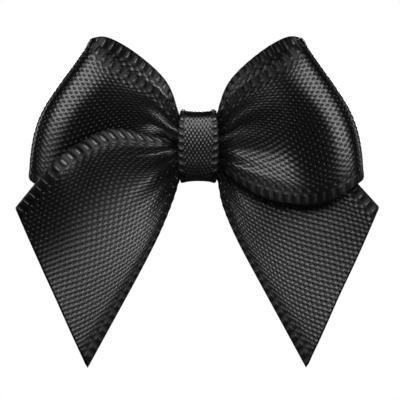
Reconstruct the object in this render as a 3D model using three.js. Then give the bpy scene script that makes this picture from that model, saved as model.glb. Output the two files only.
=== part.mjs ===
// A ready-made satin ribbon bow: two loops, two tails and a narrow wrap round the waist.
// Millimetres. +Z is up, +X is to the viewer's right, and the front faces -Y.
// The origin is on the flat back of the wrap, at the middle of the waist, where the bow is sewn or glued on.
import * as THREE from "three";

// ---- Driving dimensions ----
const RIBBON_THICKNESS = 0.3; // the bow ribbon with its float yarns, pressed flat
const STEPS_PER_SPAN = 2; // grid steps between two stations, lengthwise and across

const WRAP_WIDTH = 3.1; // the narrow ribbon round the waist
const WRAP_THICKNESS = 0.3;
const WRAP_FRONT = -3.4; // the foremost face of the wrap; its back is at 0
const WRAP_TOP = 2.95;
const WRAP_BOTTOM = -2.85;
const WRAP_CORNER = 1.2; // corner radius of the middle of the band
const LAP_GAP = 0.17; // glue space between the two laps behind the waist
const LAP_UNDER_END = -0.6; // height where the inner lap starts
const LAP_OVER_END = 1.3; // height where the outer lap ends
const GLUE_SIZE = [2.2, 0.11, 1.3];

const WAIST_CENTRE_Y = -1.93; // middle of the gathered layers
const GATHER_LENGTH = 2.9; // along X, just short of the wrap's edges
const GATHER_HALF_HEIGHT = 2.3;
const GATHER_CENTRE_Z = 0.03;
const GATHER_THICKNESS = 0.24;
const GATHER_SPACING = 0.52; // from one layer to the next
const PLEAT_DEPTH = 0.22;
const PLEATS = 4;

const THREAD_RADIUS = 0.1;
const THREAD_TURNS = 3;
const THREAD_PITCH = 0.34;
const THREAD_HALF_DEPTH = 1.03;
const THREAD_HALF_HEIGHT = 2.44;

// ---- Materials ----
const satin = new THREE.MeshStandardMaterial({ color: 0x17171a, roughness: 0.42, metalness: 0 });
const narrowSatin = new THREE.MeshStandardMaterial({ color: 0x1b1b1e, roughness: 0.5, metalness: 0 });
const thread = new THREE.MeshStandardMaterial({ color: 0x101012, roughness: 0.7, metalness: 0 });
const glue = new THREE.MeshStandardMaterial({ color: 0xd9d2bd, roughness: 0.35, metalness: 0 });

// ---- The bow ribbon's sections ----
// A section is a set of rails, which follow the warp from the waist outwards. The first rail is the upper
// selvage and the last is the lower one. Each rail has the same stations. Outlines hold [x, z] as seen from
// the front, for the right-hand side, and depths hold y. The sections start at ROOT_X, a little way out from
// the wrap, so that each can swing on an upright hinge there.
const ROOT_X = 2.05;
const LOOP_OUTLINE = [
  // Upper selvage: out along the front leaf, round the pinched corner, back along the rear leaf.
  [[ROOT_X, 3.3], [3.0, 4.5], [4.2, 5.4], [5.6, 6.3], [7.05, 7.4], [8.15, 8.75],
    [7.2, 8.85], [5.5, 8.0], [3.5, 6.4], [ROOT_X, 4.6]],
  [[ROOT_X, 2.2], [3.4, 3.6], [4.8, 4.4], [6.2, 5.2], [7.35, 6.0], [8.9, 7.45],
    [7.8, 7.2], [6.0, 6.6], [4.0, 5.2], [ROOT_X, 3.1]],
  [[ROOT_X, 1.2], [3.7, 2.2], [5.6, 2.9], [7.5, 3.4], [8.9, 3.8], [10.75, 4.85],
    [9.2, 4.6], [7.0, 4.2], [4.8, 3.3], [ROOT_X, 1.5]],
  [[ROOT_X, 0.5], [3.8, 0.9], [5.8, 1.0], [8.2, 1.2], [10.15, 1.6], [12.25, 2.45],
    [10.6, 2.3], [8.2, 2.0], [5.6, 1.4], [ROOT_X, 0.4]],
  [[ROOT_X, -0.7], [3.8, -0.9], [6.0, -1.5], [8.3, -2.0], [10.9, -1.3], [12.9, -0.15],
    [11.2, -0.4], [8.8, -0.5], [6.0, -0.6], [ROOT_X, -0.8]],
  // Lower selvage.
  [[ROOT_X, -2.1], [4.2, -3.65], [6.6, -4.5], [9.2, -4.7], [11.2, -4.1], [13.05, -2.75],
    [11.6, -3.1], [9.4, -3.4], [6.6, -3.1], [ROOT_X, -1.95]],
];
// The right loop stands fullest, because its front leaf is the foremost layer at the waist.
const RIGHT_LOOP_DEPTH = [
  [-2.7, -2.95, -3.15, -3.35, -3.5, -2.5, -1.7, -0.95, -0.4, -0.8],
  [-3.1, -3.5, -3.8, -4.05, -4.3, -3.1, -2.0, -1.5, -1.3, -1.5],
  [-3.0, -3.45, -3.9, -4.35, -4.85, -3.6, -2.1, -1.6, -1.5, -1.6],
  [-2.3, -2.55, -3.2, -4.15, -5.3, -3.9, -2.0, -1.6, -1.6, -1.7],
  [-3.5, -4.25, -4.4, -4.55, -5.65, -4.2, -2.0, -1.6, -1.6, -1.8],
  [-3.0, -3.7, -4.1, -4.7, -5.4, -4.2, -2.2, -1.7, -1.7, -1.8],
];
// The left loop lies flatter and further back, under the left tail, and reaches a little further out.
const LEFT_LOOP_REACH = 1.03;
const LEFT_LOOP_DEPTH = [
  [-2.0, -2.2, -2.4, -2.55, -2.6, -1.8, -1.3, -0.7, -0.3, -0.5],
  [-2.3, -2.5, -2.75, -2.95, -3.1, -2.0, -1.2, -0.8, -0.6, -0.9],
  [-1.95, -2.1, -2.5, -3.05, -3.55, -2.4, -1.2, -0.8, -0.6, -0.9],
  [-1.65, -1.45, -1.8, -2.85, -3.85, -2.6, -1.2, -0.7, -0.5, -0.9],
  [-1.6, -1.3, -1.35, -2.3, -3.6, -2.4, -1.1, -0.7, -0.5, -0.9],
  [-1.5, -1.15, -1.25, -2.0, -3.2, -2.3, -1.2, -0.7, -0.5, -0.9],
];

const LEFT_TAIL_OUTLINE = [
  // Outer selvage, which rises over the left loop before it turns down.
  [[ROOT_X, 0.6], [4.2, 0.95], [6.6, 1.45], [8.9, 0.6], [11.4, -1.15], [14.6, -4.9]],
  [[ROOT_X, 0.15], [4.0, 0.35], [6.3, 0.3], [8.4, -0.7], [10.9, -2.8], [14.05, -6.2]],
  [[ROOT_X, -0.7], [3.8, -1.5], [5.8, -1.9], [7.8, -3.1], [9.9, -5.4], [12.7, -9.4]],
  [[ROOT_X, -1.9], [3.1, -2.9], [4.7, -4.2], [6.6, -6.5], [8.8, -9.3], [11.4, -12.2]],
  [[1.9, -2.6], [2.6, -4.0], [3.8, -6.2], [5.5, -8.8], [7.6, -11.7], [10.15, -15.05]],
  // Inner selvage, down to the point of the slanting cut.
  [[1.8, -3.2], [2.2, -4.6], [3.25, -7.2], [4.8, -10.3], [6.7, -13.8], [8.86, -17.75]],
];
const LEFT_TAIL_DEPTH = [
  [-3.1, -3.5, -3.65, -4.0, -4.6, -3.9],
  [-3.25, -3.65, -3.85, -4.35, -4.6, -3.6],
  [-2.6, -2.25, -2.3, -2.6, -3.05, -3.2],
  [-2.3, -1.85, -1.8, -2.2, -2.65, -3.0],
  [-2.25, -1.9, -1.85, -2.15, -2.5, -2.85],
  [-2.1, -1.85, -1.85, -2.1, -2.4, -2.7],
];
const RIGHT_TAIL_OUTLINE = [
  [[ROOT_X, 1.2], [4.6, 2.5], [7.0, 2.0], [9.5, 0.2], [12.0, -2.1], [14.55, -4.85]],
  [[ROOT_X, 0.5], [4.5, 1.4], [6.8, 0.7], [9.1, -1.3], [11.45, -3.65], [14.0, -6.2]],
  [[ROOT_X, -0.6], [4.0, -1.2], [5.9, -2.3], [7.9, -4.3], [10.1, -6.6], [12.6, -9.4]],
  [[ROOT_X, -1.8], [3.2, -3.1], [4.8, -4.8], [6.6, -7.0], [8.7, -9.5], [11.25, -12.2]],
  [[1.9, -2.6], [2.55, -4.2], [3.7, -6.3], [5.3, -8.8], [7.35, -11.8], [10.0, -15.1]],
  [[1.75, -3.3], [2.0, -4.7], [3.05, -7.3], [4.65, -10.4], [6.55, -13.9], [8.67, -17.8]],
];
const RIGHT_TAIL_DEPTH = [
  [-1.0, -0.6, -0.5, -0.8, -1.1, -0.95],
  [-1.0, -0.7, -0.7, -0.85, -1.05, -0.95],
  [-1.0, -0.75, -0.85, -0.85, -0.9, -0.95],
  [-0.95, -0.75, -0.75, -0.7, -0.8, -0.95],
  [-1.0, -0.8, -0.75, -0.75, -0.85, -1.0],
  [-1.0, -0.85, -0.8, -0.85, -0.95, -1.05],
];

const spline = (points) => new THREE.CatmullRomCurve3(points, false, "catmullrom", 0.5);

function railsOf(outline, depth, side) {
  return outline.map((rail, i) => spline(rail.map(([x, z], k) => new THREE.Vector3(side * x, depth[i][k], z))));
}

// A sheet of even thickness about the surface through the rails, closed by a rim.
function sheetGeometry(rails) {
  const columns = (rails[0].points.length - 1) * STEPS_PER_SPAN;
  const rows = (rails.length - 1) * STEPS_PER_SPAN;
  const surface = [];
  for (let i = 0; i <= columns; i++) {
    surface.push(spline(rails.map((rail) => rail.getPoint(i / columns))).getPoints(rows));
  }
  const at = (i, j) => surface[Math.min(Math.max(i, 0), columns)][Math.min(Math.max(j, 0), rows)];
  const positions = [];
  for (const face of [-1, 1]) {
    for (let i = 0; i <= columns; i++) {
      for (let j = 0; j <= rows; j++) {
        const along = at(i + 1, j).clone().sub(at(i - 1, j));
        const across = at(i, j + 1).clone().sub(at(i, j - 1));
        const offset = along.cross(across).normalize().multiplyScalar((face * RIBBON_THICKNESS) / 2);
        positions.push(...offset.add(at(i, j)).toArray());
      }
    }
  }
  const index = (face, i, j) => (face * (columns + 1) + i) * (rows + 1) + j;
  const triangles = [];
  const quad = (a, b, c, d) => triangles.push(a, b, c, a, c, d);
  for (let i = 0; i < columns; i++) {
    for (let j = 0; j < rows; j++) {
      quad(index(1, i, j), index(1, i + 1, j), index(1, i + 1, j + 1), index(1, i, j + 1));
      quad(index(0, i, j), index(0, i, j + 1), index(0, i + 1, j + 1), index(0, i + 1, j));
    }
    quad(index(0, i, 0), index(0, i + 1, 0), index(1, i + 1, 0), index(1, i, 0));
    quad(index(1, i, rows), index(1, i + 1, rows), index(0, i + 1, rows), index(0, i, rows));
  }
  for (let j = 0; j < rows; j++) {
    quad(index(1, 0, j), index(1, 0, j + 1), index(0, 0, j + 1), index(0, 0, j));
    quad(index(0, columns, j), index(0, columns, j + 1), index(1, columns, j + 1), index(1, columns, j));
  }
  const geometry = new THREE.BufferGeometry();
  geometry.setAttribute("position", new THREE.Float32BufferAttribute(positions, 3));
  geometry.setIndex(triangles);
  geometry.computeVertexNormals();
  return geometry;
}

// ---- The waist ----
// Outlines at the waist are drawn in the Y-Z plane and extruded along X, centred on X = 0.
const WAIST_PLANE = new THREE.Matrix4().makeBasis(
  new THREE.Vector3(0, 1, 0),
  new THREE.Vector3(0, 0, 1),
  new THREE.Vector3(1, 0, 0),
);

function extrudeAlongX(shape, length) {
  const geometry = new THREE.ExtrudeGeometry(shape, { depth: length, bevelEnabled: false });
  return geometry.translate(0, 0, -length / 2).applyMatrix4(WAIST_PLANE);
}

// The strip of that thickness along a line of points in the Y-Z plane.
function stripShape(points, thickness) {
  const last = points.length - 1;
  const side = (sign) => points.map((point, i) => {
    const along = points[Math.min(i + 1, last)].clone().sub(points[Math.max(i - 1, 0)]).normalize();
    return new THREE.Vector2(-along.y, along.x).multiplyScalar((sign * thickness) / 2).add(point);
  });
  return new THREE.Shape([...side(-1), ...side(1).reverse()]);
}

// The narrow ribbon goes up from its inner lap, over the top, down the front and up again as the outer lap.
function wrapGeometry() {
  const half = WRAP_THICKNESS / 2;
  const outerBack = -half;
  const innerBack = outerBack - WRAP_THICKNESS - LAP_GAP;
  const [front, top, bottom, r] = [WRAP_FRONT + half, WRAP_TOP - half, WRAP_BOTTOM + half, WRAP_CORNER];
  const quarter = Math.PI / 2;
  const band = new THREE.Path();
  band.moveTo(innerBack, LAP_UNDER_END);
  band.lineTo(innerBack, top - r);
  band.absarc(innerBack - r, top - r, r, 0, quarter, false);
  band.absarc(front + r, top - r, r, quarter, 2 * quarter, false);
  band.absarc(front + r, bottom + r, r, 2 * quarter, 3 * quarter, false);
  band.absarc(outerBack - r, bottom + r, r, 3 * quarter, 4 * quarter, false);
  band.lineTo(outerBack, LAP_OVER_END);
  return extrudeAlongX(stripShape(band.getPoints(5), WRAP_THICKNESS), WRAP_WIDTH);
}

// Pleats nest from layer to layer, and the layers draw together towards the top and bottom of the waist.
function gatherGeometry(layer) {
  const steps = PLEATS * 4;
  const points = [];
  for (let k = 0; k <= steps; k++) {
    const height = (2 * k) / steps - 1;
    const drawn = 1 - 0.5 * height ** 4;
    const pleat = PLEAT_DEPTH * (1 - height ** 4) * Math.cos(PLEATS * Math.PI * height);
    points.push(new THREE.Vector2(
      WAIST_CENTRE_Y + layer * GATHER_SPACING * drawn + pleat,
      GATHER_CENTRE_Z + GATHER_HALF_HEIGHT * height,
    ));
  }
  return extrudeAlongX(stripShape(points, GATHER_THICKNESS), GATHER_LENGTH);
}

// A few turns of sewing thread hold the gathers, under the wrap.
function threadGeometry() {
  const stepsPerTurn = 20;
  const squareness = 0.5; // below 1 the turns follow the flat-sided waist instead of an ellipse
  const points = [];
  for (let k = 0; k <= THREAD_TURNS * stepsPerTurn; k++) {
    const turn = k / stepsPerTurn;
    const [c, s] = [Math.cos(2 * Math.PI * turn), Math.sin(2 * Math.PI * turn)];
    points.push(new THREE.Vector3(
      THREAD_PITCH * (turn - THREAD_TURNS / 2),
      WAIST_CENTRE_Y + THREAD_HALF_DEPTH * Math.sign(c) * Math.abs(c) ** squareness,
      GATHER_CENTRE_Z + THREAD_HALF_HEIGHT * Math.sign(s) * Math.abs(s) ** squareness,
    ));
  }
  const section = new THREE.Shape();
  section.absarc(0, 0, THREAD_RADIUS, 0, 2 * Math.PI, false);
  return new THREE.ExtrudeGeometry(section, {
    curveSegments: 6,
    steps: THREAD_TURNS * stepsPerTurn,
    bevelEnabled: false,
    extrudePath: spline(points),
  });
}

// ---- The assembly ----
const bow = new THREE.Group();

function add(name, geometry, material) {
  const mesh = new THREE.Mesh(geometry, material);
  mesh.name = name;
  bow.add(mesh);
  return mesh;
}

add("right_loop", sheetGeometry(railsOf(LOOP_OUTLINE, RIGHT_LOOP_DEPTH, 1)), satin);
add("left_loop", sheetGeometry(railsOf(LOOP_OUTLINE, LEFT_LOOP_DEPTH, -LEFT_LOOP_REACH).reverse()), satin);
add("right_tail", sheetGeometry(railsOf(RIGHT_TAIL_OUTLINE, RIGHT_TAIL_DEPTH, 1)), satin);
add("left_tail", sheetGeometry(railsOf(LEFT_TAIL_OUTLINE, LEFT_TAIL_DEPTH, -1).reverse()), satin);
["gather_front", "gather_middle", "gather_back"].forEach((name, i) => add(name, gatherGeometry(i - 1), satin));
add("binding_thread", threadGeometry(), thread);
add("centre_wrap", wrapGeometry(), narrowSatin);
const glueGap = new THREE.Vector3(0, -WRAP_THICKNESS - LAP_GAP / 2, (LAP_UNDER_END + LAP_OVER_END) / 2);
add("wrap_glue", new THREE.BoxGeometry(...GLUE_SIZE), glue).position.copy(glueGap);

export default bow;
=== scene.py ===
"""A small black satin ribbon bow: two loops, two slant-cut tails and a narrow wrap round the waist.

Shapes are given in millimetres in the CAD part's frame (+Z up, front towards -Y) and made in metres.
"""
import math

import bpy
import numpy as np
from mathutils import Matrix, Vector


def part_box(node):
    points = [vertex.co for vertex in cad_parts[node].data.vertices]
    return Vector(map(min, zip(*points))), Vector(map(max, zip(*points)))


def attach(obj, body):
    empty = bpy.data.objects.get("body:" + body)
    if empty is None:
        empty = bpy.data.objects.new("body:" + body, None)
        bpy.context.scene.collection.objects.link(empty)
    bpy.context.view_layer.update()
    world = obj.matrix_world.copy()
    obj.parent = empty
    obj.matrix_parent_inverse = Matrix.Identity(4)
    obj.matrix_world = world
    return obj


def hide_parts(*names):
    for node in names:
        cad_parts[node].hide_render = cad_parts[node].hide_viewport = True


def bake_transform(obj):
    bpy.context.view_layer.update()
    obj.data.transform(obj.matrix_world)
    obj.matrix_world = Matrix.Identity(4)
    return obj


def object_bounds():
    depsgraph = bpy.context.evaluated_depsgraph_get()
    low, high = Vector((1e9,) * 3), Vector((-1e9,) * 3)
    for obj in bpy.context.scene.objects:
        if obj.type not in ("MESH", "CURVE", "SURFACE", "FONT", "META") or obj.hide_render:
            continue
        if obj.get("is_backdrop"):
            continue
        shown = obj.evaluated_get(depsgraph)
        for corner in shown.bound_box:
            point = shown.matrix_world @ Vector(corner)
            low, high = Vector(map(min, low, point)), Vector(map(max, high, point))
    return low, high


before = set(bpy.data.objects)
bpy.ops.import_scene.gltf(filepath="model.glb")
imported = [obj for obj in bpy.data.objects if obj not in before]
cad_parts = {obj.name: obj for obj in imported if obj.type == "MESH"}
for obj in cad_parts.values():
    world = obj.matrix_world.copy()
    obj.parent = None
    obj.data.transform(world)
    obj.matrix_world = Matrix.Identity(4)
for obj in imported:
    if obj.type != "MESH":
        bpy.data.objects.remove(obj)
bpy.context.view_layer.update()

MM = 0.001

# ---- Driving dimensions, in millimetres ----
RIBBON_WIDTH = 12.7
RIBBON_THICKNESS = 0.26
GRID_STEP = 0.11  # lengthwise mesh spacing
MIDDLE_STEP = 0.19  # crosswise mesh spacing between the selvages
SELVAGE_STEP = 0.085  # crosswise mesh spacing in the selvages
SELVAGE_WIDTH = 1.15
SELVAGE_PITCH = 0.76  # from one selvage block to the next
SELVAGE_RELIEF = 0.04
EDGE_ROUNDING = 0.13
RIM_PLACES = (0.0, 0.03, 0.075, EDGE_ROUNDING)  # the outermost mesh rows, in from the edge
RIM_LEAST = 0.02  # a share, squared, that keeps the rim from thinning to a knife edge
FLOAT_LENGTH = 0.74  # weave repeat along the ribbon
FLOAT_SPACING = 0.45  # weave repeat across the ribbon
SMOOTHING_PASSES = 60
CURL_WIDTH = 1.5  # how far in from the selvages their roll reaches
PLEATS = 5  # across the ribbon at the waist
CREST_SQUARENESS = 6  # 2 for an elliptical turn, more for a flatter one with tighter corners
PLEAT_LIMIT = 0.26  # the deepest that the thread leaves room for
PLEAT_REACH = 2.8  # how far out from the waist they fade
PLEAT_UNEVENNESS = 0.16  # in pleats
PLEAT_SHIFT = 0.7  # in radians
PLEAT_MARGIN = (0.2, 1.8)  # how far in from the edge the pleats start, and where they are full
CREASE_START = 0.8  # the creases fade in over this distance from the waist

WRAP_WIDTH = 3.1
WRAP_THICKNESS = 0.24
WRAP_SADDLE = 0.055  # share of its height that its middle is drawn in below the selvages
WRAP_BARREL = 0.14  # share of its width that it is narrower at the top and bottom than halfway up
WRAP_FLOAT_LENGTH = 0.5
WRAP_FLOAT_SPACING = 0.29
WRAP_PITCH = 0.6  # from one selvage block to the next
WRAP_RELIEF = 0.03
WRAP_EDGE_ROUNDING = 0.12
WRAP_RIM_PLACES = (0.0, 0.03, 0.08)
WRAP_INNER_ROWS = (0.13, 40)  # where the evenly spaced mesh rows start, and their number
WRAP_COLUMNS = 260
LAP_GAP = 0.47  # from the outer lap to the inner one

# ---- The ribbon's sections ----
ROOT_X = 1.5  # the sections start this far out from the middle of the waist
# A section is a set of rails that follow the warp from the waist outwards. RAIL_PLACES says how far across
# the ribbon each rail lies, from the upper selvage to the lower one. Points are (x, y, z) for a section on
# the right-hand side; the left-hand ones are mirrored.
RAIL_PLACES = (0.0, 1.3, 4.4, 7.2, 10.0, 12.7)

RIGHT_LOOP = (
    ((ROOT_X, -2.4, 2.3), (2.1, -2.7, 3.35), (3.0, -2.95, 4.5), (4.2, -3.15, 5.4), (5.6, -3.35, 6.3),
     (7.05, -3.5, 7.4), (8.15, -2.5, 8.75),
     (7.2, -1.7, 8.85), (5.5, -0.95, 8.0), (3.5, -0.4, 6.4), (2.15, -0.8, 4.75), (ROOT_X, -1.8, 2.3)),
    ((ROOT_X, -2.7, 1.7), (2.2, -3.2, 2.3), (3.4, -3.5, 3.6), (4.8, -3.8, 4.4), (6.2, -4.05, 5.2),
     (7.35, -4.3, 6.0), (8.9, -3.1, 7.45),
     (7.8, -2.0, 7.2), (6.0, -1.5, 6.6), (4.0, -1.3, 5.2), (2.5, -1.4, 3.8), (ROOT_X, -2.05, 1.8)),
    ((ROOT_X, -2.6, 0.9), (2.3, -3.1, 1.3), (3.7, -3.45, 2.2), (5.6, -3.9, 2.9), (7.5, -4.35, 3.4),
     (8.9, -4.85, 3.8), (10.75, -3.6, 4.85),
     (9.2, -2.1, 4.6), (7.0, -1.6, 4.2), (4.8, -1.5, 3.3), (2.9, -1.4, 2.2), (ROOT_X, -1.9, 1.0)),
    ((ROOT_X, -2.2, 0.25), (2.3, -2.2, 0.6), (3.8, -2.55, 0.9), (5.8, -3.2, 1.0), (8.2, -4.15, 1.2),
     (10.15, -5.3, 1.6), (12.25, -3.9, 2.45),
     (10.6, -2.0, 2.3), (8.2, -1.6, 2.0), (5.6, -1.6, 1.4), (3.1, -1.5, 0.7), (ROOT_X, -1.9, 0.2)),
    ((ROOT_X, -2.75, -0.6), (2.3, -3.85, -0.7), (3.8, -4.15, -0.9), (6.0, -4.4, -1.5), (8.3, -4.7, -2.0),
     (10.9, -5.65, -1.3), (12.9, -4.2, -0.15),
     (11.2, -2.0, -0.4), (8.8, -1.6, -0.5), (6.0, -1.6, -0.6), (3.2, -1.55, -0.8), (ROOT_X, -2.05, -0.8)),
    ((ROOT_X, -2.5, -1.7), (2.3, -3.1, -2.2), (4.2, -3.7, -3.65), (6.6, -4.1, -4.5), (9.2, -4.7, -4.7),
     (11.2, -5.4, -4.1), (13.05, -4.2, -2.75),
     (11.6, -2.2, -3.1), (9.4, -1.7, -3.4), (6.6, -1.7, -3.1), (3.4, -1.6, -2.3), (ROOT_X, -1.95, -1.8)),
)
LEFT_LOOP_REACH = 1.03  # the left loop reaches this many times as far out
LEFT_LOOP_DEPTH = (
    (-1.85, -2.0, -2.2, -2.4, -2.55, -2.6, -1.8, -1.3, -0.7, -0.3, -0.5, -1.35),
    (-2.05, -2.3, -2.5, -2.75, -2.95, -3.1, -2.0, -1.2, -0.8, -0.6, -0.6, -1.5),
    (-2.1, -2.0, -1.8, -2.35, -3.05, -3.55, -2.4, -1.2, -0.8, -0.6, -0.6, -1.3),
    (-2.1, -1.75, -1.3, -1.85, -2.9, -3.85, -2.6, -1.2, -0.7, -0.5, -0.55, -1.3),
    (-2.0, -1.6, -1.2, -1.35, -2.3, -3.6, -2.4, -1.1, -0.7, -0.5, -0.6, -1.4),
    (-1.8, -1.4, -1.15, -1.25, -2.0, -3.2, -2.3, -1.2, -0.7, -0.5, -0.6, -1.35),
)
LEFT_TAIL = (
    ((ROOT_X, -2.55, 0.6), (2.4, -3.3, 0.6), (4.2, -3.5, 0.95), (6.6, -3.65, 1.45), (8.9, -3.95, 0.6),
     (11.4, -4.75, -1.15), (14.6, -3.9, -4.9)),
    ((ROOT_X, -2.65, 0.05), (2.4, -3.45, 0.0), (4.0, -3.65, -0.1), (6.3, -3.85, -0.1), (8.4, -4.3, -0.9),
     (10.9, -4.85, -2.8), (14.05, -3.6, -6.2)),
    ((ROOT_X, -2.55, -0.5), (2.3, -2.6, -0.8), (3.8, -2.25, -1.5), (5.8, -2.3, -1.9), (7.8, -2.6, -3.1),
     (9.9, -3.05, -5.4), (12.7, -3.2, -9.4)),
    ((ROOT_X, -2.5, -1.1), (2.0, -2.3, -1.8), (3.1, -1.85, -2.9), (4.7, -1.8, -4.2), (6.6, -2.2, -6.5),
     (8.8, -2.65, -9.3), (11.4, -3.0, -12.2)),
    ((ROOT_X, -2.4, -1.7), (1.8, -2.25, -2.5), (2.6, -1.9, -4.0), (3.8, -1.85, -6.2), (5.5, -2.15, -8.8),
     (7.6, -2.5, -11.7), (10.15, -2.85, -15.05)),
    ((ROOT_X, -2.4, -2.2), (1.75, -2.1, -3.1), (2.2, -1.85, -4.6), (3.25, -1.85, -7.2), (4.8, -2.1, -10.3),
     (6.7, -2.4, -13.8), (8.86, -2.7, -17.75)),
)
RIGHT_TAIL = (
    ((ROOT_X, -1.25, 0.6), (2.6, -0.9, 1.6), (4.6, -0.6, 2.5), (7.0, -0.5, 2.0), (9.5, -0.8, 0.2),
     (12.0, -1.1, -2.1), (14.55, -0.95, -4.85)),
    ((ROOT_X, -1.25, 0.1), (2.6, -0.9, 0.7), (4.5, -0.7, 1.4), (6.8, -0.7, 0.7), (9.1, -0.85, -1.3),
     (11.45, -1.05, -3.65), (14.0, -0.95, -6.2)),
    ((ROOT_X, -1.25, -0.5), (2.5, -0.9, -0.7), (4.0, -0.75, -1.2), (5.9, -0.85, -2.3), (7.9, -0.85, -4.3),
     (10.1, -0.9, -6.6), (12.6, -0.95, -9.4)),
    ((ROOT_X, -1.25, -1.1), (2.1, -0.9, -1.8), (3.2, -0.75, -3.1), (4.8, -0.75, -4.8), (6.6, -0.7, -7.0),
     (8.7, -0.8, -9.5), (11.25, -0.95, -12.2)),
    ((ROOT_X, -1.25, -1.7), (1.8, -1.0, -2.5), (2.55, -0.8, -4.2), (3.7, -0.75, -6.3), (5.3, -0.75, -8.8),
     (7.35, -0.85, -11.8), (10.0, -1.0, -15.1)),
    ((ROOT_X, -1.25, -2.2), (1.75, -1.0, -3.1), (2.0, -0.85, -4.7), (3.05, -0.8, -7.3), (4.65, -0.85, -10.4),
     (6.55, -0.95, -13.9), (8.67, -1.05, -17.8)),
)

# Fine creases that run out from the waist: (place across the ribbon, depth, width, reach).
RIGHT_LOOP_CREASES = (
    (3.0, 0.07, 0.35, 3.0),
    (5.2, 0.09, 0.35, 3.2),
    (8.6, 0.12, 0.3, 4.5),
    (9.4, 0.10, 0.28, 5.5),
    (10.6, 0.12, 0.3, 4.5),
    (11.6, 0.10, 0.3, 3.2),
)
LEFT_LOOP_CREASES = (
    (3.0, 0.07, 0.35, 3.0),
    (5.0, 0.09, 0.35, 3.2),
)
LEFT_TAIL_CREASES = (
    (1.0, 0.09, 0.25, 6.5),
    (1.7, 0.12, 0.22, 7.5),
    (2.4, 0.11, 0.25, 6.5),
    (3.4, 0.10, 0.3, 4.5),
    (6.0, 0.12, 0.4, 3.6),
    (9.0, 0.12, 0.4, 3.6),
)
RIGHT_TAIL_CREASES = (
    (5.6, 0.10, 0.4, 3.5),
    (9.4, 0.10, 0.4, 3.5),
)


def mirrored(rails):
    return tuple(tuple((-x, y, z) for x, y, z in rail) for rail in rails)


def left_loop_rails():
    """The right loop's outline, mirrored and drawn out a little, with the left loop's own depths."""
    rails = []
    for rail, depths in zip(RIGHT_LOOP, LEFT_LOOP_DEPTH):
        points = []
        for (x, _, z), y in zip(rail, depths):
            reach = LEFT_LOOP_REACH if x > ROOT_X else 1
            points.append((-reach * x, y, z))
        rails.append(tuple(points))
    return tuple(rails)


def with_round_crest(rail, crest):
    """The rail with two more points at its turning point, halfway round squarish elliptical quarters."""
    points = [np.array(p, float) for p in rail]
    turn = points[crest]
    halfway = []
    for side in (points[crest - 1], points[crest + 1]):
        rise = 0.5 ** (1 / CREST_SQUARENESS)
        halfway.append(turn + (side - turn) * np.array([1 - rise, rise, 1 - rise]))
    return points[:crest] + [halfway[0], turn, halfway[1]] + points[crest + 1:]


# ---- Surfaces ----
def catmull_rom(points, places):
    """Points on the curve through an array's first axis, at places counted in its steps."""
    padded = np.concatenate([2 * points[:1] - points[1:2], points, 2 * points[-1:] - points[-2:-1]])
    start = np.clip(np.floor(places).astype(int), 0, len(points) - 2)
    t = (places - start).reshape((-1,) + (1,) * (points.ndim - 1))
    p0, p1, p2, p3 = (padded[start + k] for k in range(4))
    return 0.5 * (2 * p1 + (p2 - p0) * t + (2 * p0 - 5 * p1 + 4 * p2 - p3) * t**2
                  + (3 * p1 - p0 - 3 * p2 + p3) * t**3)


def steps_across():
    """Places across the ribbon, close together in the selvages and at the rounded edges."""
    edge = np.array(RIM_PLACES)
    selvage = np.arange(EDGE_ROUNDING + SELVAGE_STEP, SELVAGE_WIDTH, SELVAGE_STEP)
    side = np.concatenate([edge, selvage])
    count = int((RIBBON_WIDTH - 2 * SELVAGE_WIDTH) / MIDDLE_STEP)
    middle = np.linspace(SELVAGE_WIDTH, RIBBON_WIDTH - SELVAGE_WIDTH, count)
    return np.concatenate([side, middle, RIBBON_WIDTH - side[::-1]])


def smoothed(surface, passes):
    """The surface with its small kinks eased out. Its ends and edges are eased only along themselves."""
    s = surface.copy()
    for _ in range(passes):
        s[1:-1] = 0.25 * s[:-2] + 0.5 * s[1:-1] + 0.25 * s[2:]
        s[:, 1:-1] = 0.25 * s[:, :-2] + 0.5 * s[:, 1:-1] + 0.25 * s[:, 2:]
    return s


def normals_of(surface):
    n = np.cross(np.gradient(surface, axis=0), np.gradient(surface, axis=1))
    return n / np.maximum(np.linalg.norm(n, axis=2, keepdims=True), 1e-9)


def lengthwise(surface, origin):
    """How far along the ribbon each grid point lies, counted on its own warp from column origin."""
    steps = np.linalg.norm(np.diff(surface, axis=0), axis=2)
    along = np.concatenate([np.zeros((1, surface.shape[1])), np.cumsum(steps, axis=0)])
    return along - along[origin]


def smoothstep(low, high, x):
    t = np.clip((x - low) / (high - low), 0, 1)
    return t * t * (3 - 2 * t)


def rails_to_surface(rails):
    points = np.array(rails, float)  # rail, station, axis
    lengths = np.linalg.norm(np.diff(points, axis=1), axis=2).sum(axis=1)
    columns = int(lengths.max() / GRID_STEP)
    stations = np.linspace(0, points.shape[1] - 1, columns)
    along = catmull_rom(points.transpose(1, 0, 2), stations)  # column, rail, axis
    across = steps_across()
    places = np.interp(across, RAIL_PLACES, range(len(RAIL_PLACES)))
    surface = catmull_rom(along.transpose(1, 0, 2), places).transpose(1, 0, 2)
    return smoothed(surface, SMOOTHING_PASSES), across


def reach_from_waist(surface, is_loop):
    """How far along its warp each grid point lies from the waist. Both ends of a loop are at the waist."""
    reach = lengthwise(surface, 0)
    if is_loop:
        reach = np.minimum(reach, -lengthwise(surface, -1))
    return reach


def creased(surface, across, creases, is_loop):
    """The surface with grooves pressed away from the front."""
    reach = reach_from_waist(surface, is_loop)
    fade_in = smoothstep(0, CREASE_START, reach)
    depth = np.zeros(surface.shape[:2])
    for place, amount, width, length in creases:
        wave = np.exp(-(((across - place) / width) ** 2))
        depth += amount * wave * np.exp(-((reach / length) ** 2)) * fade_in
    result = surface.copy()
    result[:, :, 1] += depth
    return result


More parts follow.
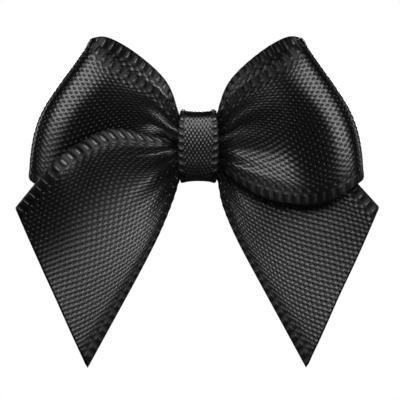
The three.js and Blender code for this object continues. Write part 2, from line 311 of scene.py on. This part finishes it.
def pleated(surface, across, is_loop):
    """The surface with pleats that take up the drawn-in width, as far as PLEAT_LIMIT allows.

    They are uneven, and in the same places in every layer, so that the layers nest.
    """
    width = np.linalg.norm(np.diff(surface, axis=1), axis=2).sum(axis=1)
    wave_length = width / PLEATS
    drawn_in = np.maximum(RIBBON_WIDTH / width - 1, 0)
    amount = PLEAT_LIMIT * np.tanh(wave_length / math.pi * np.sqrt(drawn_in) / PLEAT_LIMIT)
    share = across / RIBBON_WIDTH
    unevenness = PLEAT_UNEVENNESS * np.sin(2 * math.pi * share + PLEAT_SHIFT)
    phase = 2 * math.pi * (PLEATS * share + unevenness)
    away_from_selvage = smoothstep(*PLEAT_MARGIN, np.minimum(across, RIBBON_WIDTH - across))
    pleats = amount[:, None] * (np.cos(phase) * away_from_selvage)[None, :]
    result = surface.copy()
    result[:, :, 1] += pleats * np.exp(-((reach_from_waist(surface, is_loop) / PLEAT_REACH) ** 2))
    return result


def curled(surface, across, upper, lower):
    """The surface with its selvages rolled back from the front, by a depth for each."""
    result = surface.copy()
    for depth, edge_distance in ((upper, across), (lower, RIBBON_WIDTH - across)):
        result[:, :, 1] += depth * (1 - np.clip(edge_distance / CURL_WIDTH, 0, 1)) ** 2
    return result


def closed_sheet(name, surface, half, u, v):
    """A mesh of two faces, each half a thickness from the surface, and a rim. u and v are its weave map."""
    columns, rows = surface.shape[:2]
    n = normals_of(surface)
    top = surface + n * half[:, :, None]
    bottom = surface - n * half[:, :, None]
    points = np.concatenate([top.reshape(-1, 3), bottom.reshape(-1, 3)]) * MM
    index = np.arange(columns * rows).reshape(columns, rows)
    under = index + columns * rows

    def quads(a, b, c, d):
        return np.stack([a, b, c, d], axis=-1).reshape(-1, 4)

    faces = np.concatenate([
        quads(index[:-1, :-1], index[1:, :-1], index[1:, 1:], index[:-1, 1:]),
        quads(under[:-1, :-1], under[:-1, 1:], under[1:, 1:], under[1:, :-1]),
        quads(under[:-1, 0], under[1:, 0], index[1:, 0], index[:-1, 0]),
        quads(index[:-1, -1], index[1:, -1], under[1:, -1], under[:-1, -1]),
        quads(index[0, :-1], index[0, 1:], under[0, 1:], under[0, :-1]),
        quads(under[-1, :-1], under[-1, 1:], index[-1, 1:], index[-1, :-1]),
    ])
    mesh = bpy.data.meshes.new(name)
    mesh.from_pydata(points.tolist(), [], faces.tolist())
    mesh.polygons.foreach_set("use_smooth", np.ones(len(faces), bool))
    weave = mesh.uv_layers.new(name="Weave")
    uv = np.stack([u.ravel(), v.ravel()], axis=1)
    corners = np.concatenate([uv, uv])[faces.ravel()]
    weave.data.foreach_set("uv", corners.astype(np.float32).ravel())
    mesh.update()
    piece = bpy.data.objects.new(name, mesh)
    bpy.context.scene.collection.objects.link(piece)
    return piece


SELVAGE_BLOCK_RISE = (0.08, 0.22)  # in from the edge, where the blocks rise and where they fall away
SELVAGE_BLOCK_FALL = (0.64, 0.8)
SELVAGE_BLOCK_TURN = (-0.15, 0.45)  # cosines along the ribbon between which a block rises
END_COLUMNS = 8  # the mesh columns that give the direction of a free end


def selvage_block(u, edge_distance):
    """1 on the raised blocks of the selvage, 0 between and inside them."""
    rise = smoothstep(*SELVAGE_BLOCK_RISE, edge_distance)
    band = rise * (1 - smoothstep(*SELVAGE_BLOCK_FALL, edge_distance))
    return band * smoothstep(*SELVAGE_BLOCK_TURN, np.cos(2 * math.pi * u / SELVAGE_PITCH))


def rounded_rim(edge_distance, radius):
    """The share of the full thickness that is left near a rounded edge."""
    return np.sqrt(np.clip(1 - (1 - np.clip(edge_distance / radius, 0, 1)) ** 2, RIM_LEAST, 1))


def ribbon_section(name, rails, creases, curls, crest=None):
    """One section of the bow ribbon.

    curls are its upper and lower selvages' depths of roll, and crest is the share of its length at which a
    loop turns back.
    """
    is_loop = crest is not None
    surface, across = rails_to_surface(rails)
    surface = creased(surface, across, creases, is_loop)
    surface = pleated(surface, across, is_loop)
    surface = curled(surface, across, *curls)
    if is_loop:
        u = lengthwise(surface, int(crest * (len(surface) - 1)))
    else:
        # The free end is flat, so the weave is counted back from a line square to the ribbon there.
        u = lengthwise(surface, -1)
        direction = (surface[-1] - surface[-END_COLUMNS]).mean(axis=0)
        direction /= np.linalg.norm(direction)
        u += (surface[-1] - surface[-1, 0]) @ direction
    v = np.broadcast_to(across, u.shape)
    edge_distance = np.minimum(v, RIBBON_WIDTH - v)
    half = RIBBON_THICKNESS / 2 * rounded_rim(edge_distance, EDGE_ROUNDING)
    half = half + SELVAGE_RELIEF * selvage_block(u, edge_distance)
    return closed_sheet(name, surface, half, u, v), surface


# ---- Materials ----
PIT_ROUGHNESS = 0.25  # how much rougher the weave is between its floats
PIT_RANGE = (-0.2, -0.65)  # the lattice values where a pit starts and where it is full
WANDER_SCALE = 0.9
WANDER_ALONG, WANDER_ACROSS = 0.18, 0.08  # how far the weave strays from even rows
STREAK_STRETCH = (0.6, 14.0, 1.0)  # the filaments are long and narrow
STREAK_SCALE, STREAK_DETAIL = 1.6, 3.0
STREAK_TONE = (0.75, 1.1)  # of the darkest and the lightest filaments
STREAK_HEIGHT = 0.3
BLOCK_TURN = (-0.15, 0.4)
EDGE_FADE = 0.12  # over which a selvage's parts fade into each other
BLUENESS = 1.04  # blue against red and green


class Nodes:
    """Short forms for the nodes that the materials repeat."""

    def __init__(self, material):
        material.use_nodes = True
        self.tree = material.node_tree
        self.tree.nodes.clear()

    def add(self, kind, **settings):
        node = self.tree.nodes.new(kind)
        for key, value in settings.items():
            setattr(node, key, value)
        return node

    def feed(self, socket, value):
        if isinstance(value, (int, float, tuple)):
            socket.default_value = value
        else:
            self.tree.links.new(value, socket)

    def math(self, operation, *values):
        node = self.add("ShaderNodeMath", operation=operation)
        for socket, value in zip(node.inputs, values):
            self.feed(socket, value)
        return node.outputs[0]

    def ramp(self, value, low, high, start=0.0, end=1.0):
        node = self.add("ShaderNodeMapRange", interpolation_type="SMOOTHSTEP")
        keys = ("Value", "From Min", "From Max", "To Min", "To Max")
        for key, given in zip(keys, (value, low, high, start, end)):
            self.feed(node.inputs[key], given)
        return node.outputs[0]

    def mix(self, share, a, b):
        """a at share 0, b at share 1."""
        return self.math("ADD", self.math("MULTIPLY", a, self.math("SUBTRACT", 1.0, share)),
                         self.math("MULTIPLY", b, share))

    def noise(self, vector, scale, detail=2.0):
        node = self.add("ShaderNodeTexNoise")
        self.feed(node.inputs["Vector"], vector)
        node.inputs["Scale"].default_value = scale
        node.inputs["Detail"].default_value = detail
        return node.outputs["Fac"]


def woven(name, width, float_length, float_spacing, blocks, dark, light, roughness, relief):
    """Satin: staggered warp floats with sunken binding points, and a selvage along both edges.

    blocks are the selvage's: their pitch, how far in they reach, and how far in the selvage does.
    """
    material = bpy.data.materials.new(name)
    n = Nodes(material)
    uv = n.add("ShaderNodeUVMap", uv_map="Weave").outputs[0]
    axes = n.add("ShaderNodeSeparateXYZ")
    n.feed(axes.inputs[0], uv)
    u, v = axes.outputs[0], axes.outputs[1]
    wander = n.math("SUBTRACT", n.noise(uv, WANDER_SCALE), 0.5)
    u_warped = n.math("MULTIPLY_ADD", wander, WANDER_ALONG, u)
    v_warped = n.math("MULTIPLY_ADD", wander, WANDER_ACROSS, v)
    turn_u = n.math("COSINE", n.math("MULTIPLY", u_warped, 2 * math.pi / float_length))
    turn_v = n.math("COSINE", n.math("MULTIPLY", v_warped, 2 * math.pi / float_spacing))
    lattice = n.math("MULTIPLY", turn_u, turn_v)
    pits = n.ramp(lattice, *PIT_RANGE)
    floats = n.math("SUBTRACT", 1.0, pits)
    streaks = n.add("ShaderNodeMapping")
    n.feed(streaks.inputs["Vector"], uv)
    streaks.inputs["Scale"].default_value = STREAK_STRETCH
    filaments = n.noise(streaks.outputs[0], STREAK_SCALE, STREAK_DETAIL)

    edge = n.math("MINIMUM", v, n.math("SUBTRACT", width, v))
    pitch, inner, band = blocks
    in_selvage = n.ramp(edge, band, band - EDGE_FADE)
    block_turn = n.math("COSINE", n.math("MULTIPLY", u, 2 * math.pi / pitch))
    within = n.ramp(edge, inner, inner - EDGE_FADE)
    block = n.math("MULTIPLY", n.ramp(block_turn, *BLOCK_TURN), within)
    weave = n.mix(in_selvage, floats, block)

    # Painted shade and highlight: the colour is darker in the sunken binding points and between the selvage
    # blocks, and lighter on the raised floats and blocks, times a random tone along the filaments.
    shade_and_filament_tone = n.math("MULTIPLY", weave, n.ramp(filaments, 0.2, 0.8, *STREAK_TONE))
    colour = n.add("ShaderNodeMix", data_type="RGBA")
    n.feed(colour.inputs["Factor"], shade_and_filament_tone)
    colour.inputs["A"].default_value = (dark, dark, dark * BLUENESS, 1)
    colour.inputs["B"].default_value = (light, light, light * BLUENESS, 1)
    roundness = n.mix(in_selvage, n.math("MULTIPLY_ADD", lattice, 0.5, floats), block)
    height = n.math("MULTIPLY_ADD", filaments, STREAK_HEIGHT, roundness)
    bump = n.add("ShaderNodeBump")
    bump.inputs["Strength"].default_value = 1.0
    bump.inputs["Distance"].default_value = relief * MM
    n.feed(bump.inputs["Height"], height)
    shader = n.add("ShaderNodeBsdfPrincipled")
    n.feed(shader.inputs["Base Color"], colour.outputs["Result"])
    gloss = n.math("MULTIPLY_ADD", weave, -PIT_ROUGHNESS, roughness + PIT_ROUGHNESS)
    n.feed(shader.inputs["Roughness"], gloss)
    n.feed(shader.inputs["Normal"], bump.outputs[0])
    shader.inputs["Specular IOR Level"].default_value = 0.5
    shader.inputs["Anisotropic"].default_value = 0.8
    shader.inputs["Anisotropic Rotation"].default_value = 0.25
    tangent = n.add("ShaderNodeTangent", direction_type="UV_MAP", uv_map="Weave")
    n.feed(shader.inputs["Tangent"], tangent.outputs[0])
    output = n.add("ShaderNodeOutputMaterial")
    n.feed(output.inputs["Surface"], shader.outputs[0])
    return material


def plain_rough(name, colour, roughness, noise_scale):
    """An even material with a small uneven grain."""
    material = bpy.data.materials.new(name)
    n = Nodes(material)
    place = n.add("ShaderNodeTexCoord").outputs["Object"]
    grain = n.noise(place, noise_scale, 4.0)
    bump = n.add("ShaderNodeBump")
    bump.inputs["Distance"].default_value = 0.03 * MM
    n.feed(bump.inputs["Height"], grain)
    shader = n.add("ShaderNodeBsdfPrincipled")
    tint = n.add("ShaderNodeMix", data_type="RGBA")
    n.feed(tint.inputs["Factor"], grain)
    tint.inputs["A"].default_value = (*(0.8 * c for c in colour), 1)
    tint.inputs["B"].default_value = (*(min(1.15 * c, 1) for c in colour), 1)
    n.feed(shader.inputs["Base Color"], tint.outputs["Result"])
    n.feed(shader.inputs["Roughness"], n.math("MULTIPLY_ADD", grain, 0.1, roughness))
    n.feed(shader.inputs["Normal"], bump.outputs[0])
    output = n.add("ShaderNodeOutputMaterial")
    n.feed(output.inputs["Surface"], shader.outputs[0])
    return material


# dark and light are the colour in the binding points and between the selvage blocks, and on the floats and
# blocks: the step between them is painted shade and painted highlight.
satin = woven("satin", RIBBON_WIDTH, FLOAT_LENGTH, FLOAT_SPACING, (SELVAGE_PITCH, 0.78, 0.92),
              dark=0.0005, light=0.004, roughness=0.31, relief=0.02)
narrow_satin = woven("narrow_satin", WRAP_WIDTH, WRAP_FLOAT_LENGTH, WRAP_FLOAT_SPACING,
                     (WRAP_PITCH, 0.42, 0.5), dark=0.0005, light=0.005, roughness=0.33, relief=0.018)
thread_finish = plain_rough("thread", (0.01, 0.01, 0.011), 0.6, 9000)
glue_finish = plain_rough("glue", (0.7, 0.66, 0.55), 0.25, 1500)


# ---- The bow ribbon ----
CREST = 6  # a loop's rails turn back at this station
LOOP_CREST = (CREST + 1) / (len(RIGHT_LOOP[0]) + 1)  # as a share of the rail, with two stations added there
LOOP_CURLS = (0.12, 0.3)  # how far back the upper and lower selvages roll
RIGHT_TAIL_CURLS = (0.3, 0.5)
LEFT_TAIL_CURLS = (0.1, 0.5)


def rounded(rails):
    return [with_round_crest(rail, CREST) for rail in rails]


right_loop, right_loop_surface = ribbon_section(
    "right_loop_ribbon", rounded(RIGHT_LOOP), RIGHT_LOOP_CREASES, LOOP_CURLS, LOOP_CREST)
left_loop, left_loop_surface = ribbon_section(
    "left_loop_ribbon", rounded(left_loop_rails()), LEFT_LOOP_CREASES, LOOP_CURLS, LOOP_CREST)
right_tail, right_tail_surface = ribbon_section(
    "right_tail_ribbon", RIGHT_TAIL, RIGHT_TAIL_CREASES, RIGHT_TAIL_CURLS)
left_tail, left_tail_surface = ribbon_section(
    "left_tail_ribbon", mirrored(LEFT_TAIL), LEFT_TAIL_CREASES, LEFT_TAIL_CURLS)
for piece, node, side in (
    (right_loop, "right_loop", 1),
    (left_loop, "left_loop", -1),
    (right_tail, "right_tail", 1),
    (left_tail, "left_tail", -1),
):
    piece.data.materials.append(satin)
    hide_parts(node)
    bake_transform(piece)


# ---- The waist ----
CROSSING_PLEAT = 0.1
CROSSING_HALF_HEIGHT = 1.95
CROSSING_THICKNESS = 0.22
CROSSING_COLUMNS = 27
FRONT_DEPTH, MIDDLE_DEPTH, BACK_DEPTH = -2.43, -1.93, -1.43


def crossing(name, node, left_end, right_end, depth):
    """A hidden pass of the bow ribbon through the waist, squeezed by the thread halfway."""
    across = steps_across()
    share = across / RIBBON_WIDTH
    middle = np.zeros_like(left_end)
    middle[:, 1] = depth + CROSSING_PLEAT * np.cos(2 * math.pi * PLEATS * share)
    middle[:, 2] = CROSSING_HALF_HEIGHT * (1 - 2 * share)
    t = np.linspace(0, 1, CROSSING_COLUMNS)[:, None, None]
    surface = (1 - t) * (1 - 2 * t) * left_end + 4 * t * (1 - t) * middle + t * (2 * t - 1) * right_end
    half = np.full(surface.shape[:2], CROSSING_THICKNESS / 2)
    u = lengthwise(surface, CROSSING_COLUMNS // 2)
    v = np.broadcast_to(across, u.shape)
    piece = closed_sheet(name, surface, half, u, v)
    piece.data.materials.append(satin)
    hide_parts(node)
    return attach(piece, "knot")


crossing_front = crossing(
    "crossing_front", "gather_front", left_tail_surface[0], right_loop_surface[0], FRONT_DEPTH)
crossing_middle = crossing(
    "crossing_middle", "gather_middle", left_loop_surface[0], right_loop_surface[-1], MIDDLE_DEPTH)
crossing_back = crossing(
    "crossing_back", "gather_back", left_loop_surface[-1], right_tail_surface[0], BACK_DEPTH)


def wrap_ribbon():
    """The narrow ribbon: up from its inner lap, over the top, down the front and up as the outer lap."""
    low, high = (np.array(corner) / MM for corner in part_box("centre_wrap"))
    half = WRAP_THICKNESS / 2
    front, back = low[1] + half, high[1] - half
    top, bottom = high[2] - half, low[2] + half
    inner = back - LAP_GAP
    route = [
        (inner, -0.6), (inner, 0.6), (inner, top - 1.0),  # up the inner lap
        (inner - 0.3, top - 0.25), (inner - 1.0, top), (front + 0.95, top),  # over the top
        (front + 0.26, top - 0.28), (front + 0.06, top - 1.0), (front, 0.6),  # down the front
        (front + 0.04, -0.7), (front + 0.15, bottom + 0.8),
        (front + 0.46, bottom + 0.22), (front + 1.2, bottom), (back - 1.0, bottom),  # under the bottom
        (back - 0.25, bottom + 0.3), (back, bottom + 1.0), (back, 0.2), (back, 1.3),  # up the outer lap
    ]
    path = catmull_rom(np.array(route), np.linspace(0, len(route) - 1, WRAP_COLUMNS))
    rim = np.array(WRAP_RIM_PLACES)
    start, rows = WRAP_INNER_ROWS
    across = np.concatenate([rim, np.linspace(start, WRAP_WIDTH - start, rows), WRAP_WIDTH - rim[::-1]])
    share = 2 * across / WRAP_WIDTH - 1
    surface = np.zeros((len(path), len(across), 3))
    surface[:, :, 1:] = path[:, None, :]
    surface[:, :, 2] *= 1 + WRAP_SADDLE * (share**2 - 0.6)
    height = surface[:, :, 2] / top
    surface[:, :, 0] = share * (WRAP_WIDTH / 2) * (1 + WRAP_BARREL * (0.5 - height**2))
    u = lengthwise(surface, 0)
    v = np.broadcast_to(across, u.shape)
    edge_distance = np.minimum(v, WRAP_WIDTH - v)
    turn = np.cos(2 * math.pi * u / WRAP_PITCH)
    bead = WRAP_RELIEF * (1 - smoothstep(0.38, 0.5, edge_distance)) * smoothstep(-0.2, 0.4, turn)
    thickness = half * rounded_rim(edge_distance, WRAP_EDGE_ROUNDING)
    thickness = thickness + bead * smoothstep(0.05, 0.15, edge_distance)
    piece = closed_sheet("wrap_ribbon", surface, thickness, u, v)
    piece.data.materials.append(narrow_satin)
    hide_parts("centre_wrap")
    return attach(piece, "knot")


wrap_ribbon()
for node, finish in (("binding_thread", thread_finish), ("wrap_glue", glue_finish)):
    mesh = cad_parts[node].data
    mesh.materials.clear()
    mesh.materials.append(finish)


# ---- Floor, light and camera ----
low, high = (np.array(corner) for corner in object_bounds())
centre = (low + high) / 2
PICTURE_WIDTH = 32 * MM
AIM_ASIDE = 0.16 * MM  # the camera looks a little aside of the bow's centre, and above it
AIM_UP = 0.17 * MM
LENS, SENSOR = 400.0, 36.0
FLOOR_RADIUS = 0.25  # metres, as are the two below
FLOOR_DROP = 0.015  # below the tails' tips
PANEL_DISTANCE = 0.35
SURROUNDINGS = 0.004  # their strength as a light; the camera sees them white
distance = PICTURE_WIDTH * LENS / SENSOR


def add_camera():
    data = bpy.data.cameras.new("camera")
    data.lens = LENS
    data.sensor_width = SENSOR
    data.clip_start = 0.01
    camera = bpy.data.objects.new("camera", data)
    camera.location = (centre[0] + AIM_ASIDE, centre[1] - distance, centre[2] + AIM_UP)
    camera.rotation_euler = (math.pi / 2, 0, 0)
    bpy.context.scene.collection.objects.link(camera)
    bpy.context.scene.camera = camera


def add_floor():
    mesh = bpy.data.meshes.new("floor")
    ring = [(FLOOR_RADIUS * math.cos(a), FLOOR_RADIUS * math.sin(a), low[2] - FLOOR_DROP)
            for a in np.linspace(0, 2 * math.pi, 64, endpoint=False)]
    mesh.from_pydata(ring, [], [list(range(len(ring)))])
    floor = bpy.data.objects.new("floor", mesh)
    material = bpy.data.materials.new("floor")
    material.use_nodes = True
    shader = material.node_tree.nodes["Principled BSDF"]
    shader.inputs["Base Color"].default_value = (0.8, 0.8, 0.8, 1)
    shader.inputs["Roughness"].default_value = 0.9
    shader.inputs["Emission Color"].default_value = (1, 1, 1, 1)
    shader.inputs["Emission Strength"].default_value = 0.6
    floor.visible_glossy = False  # so that it doesn't grey the satin's dark folds
    mesh.materials.append(material)
    bpy.context.scene.collection.objects.link(floor)
    floor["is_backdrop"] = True


def add_panel(name, azimuth, elevation, size, power):
    """A soft panel that faces the bow. Azimuth 0 is the camera's side and 90 the viewer's right."""
    a, e = math.radians(azimuth), math.radians(elevation)
    direction = np.array([math.sin(a) * math.cos(e), -math.cos(a) * math.cos(e), math.sin(e)])
    data = bpy.data.lights.new(name, "AREA")
    data.shape = "RECTANGLE"
    data.size, data.size_y = size
    data.energy = power
    light = bpy.data.objects.new(name, data)
    light.location = centre + PANEL_DISTANCE * direction
    light.rotation_euler = (math.pi / 2 - e, 0, a)
    bpy.context.scene.collection.objects.link(light)


def add_world():
    world = bpy.data.worlds.new("studio")
    bpy.context.scene.world = world
    world.use_nodes = True
    tree = world.node_tree
    background = tree.nodes["Background"]
    background.inputs["Color"].default_value = (1, 1, 1, 1)
    path = tree.nodes.new("ShaderNodeLightPath")
    strength = tree.nodes.new("ShaderNodeMapRange")
    strength.inputs["To Min"].default_value = SURROUNDINGS
    strength.inputs["To Max"].default_value = 1.0
    tree.links.new(path.outputs["Is Camera Ray"], strength.inputs["Value"])
    tree.links.new(strength.outputs[0], background.inputs["Strength"])


add_camera()
add_floor()
add_panel("front_panel", 0, 20, (0.2, 0.16), 1.08)
add_panel("left_panel", -105, 15, (0.2, 0.2), 0.35)
add_panel("right_panel", 105, 15, (0.2, 0.2), 0.35)
add_panel("back_panel", 180, 16, (0.2, 0.16), 0.9)
add_world()
bpy.context.scene.view_settings.view_transform = "Standard"
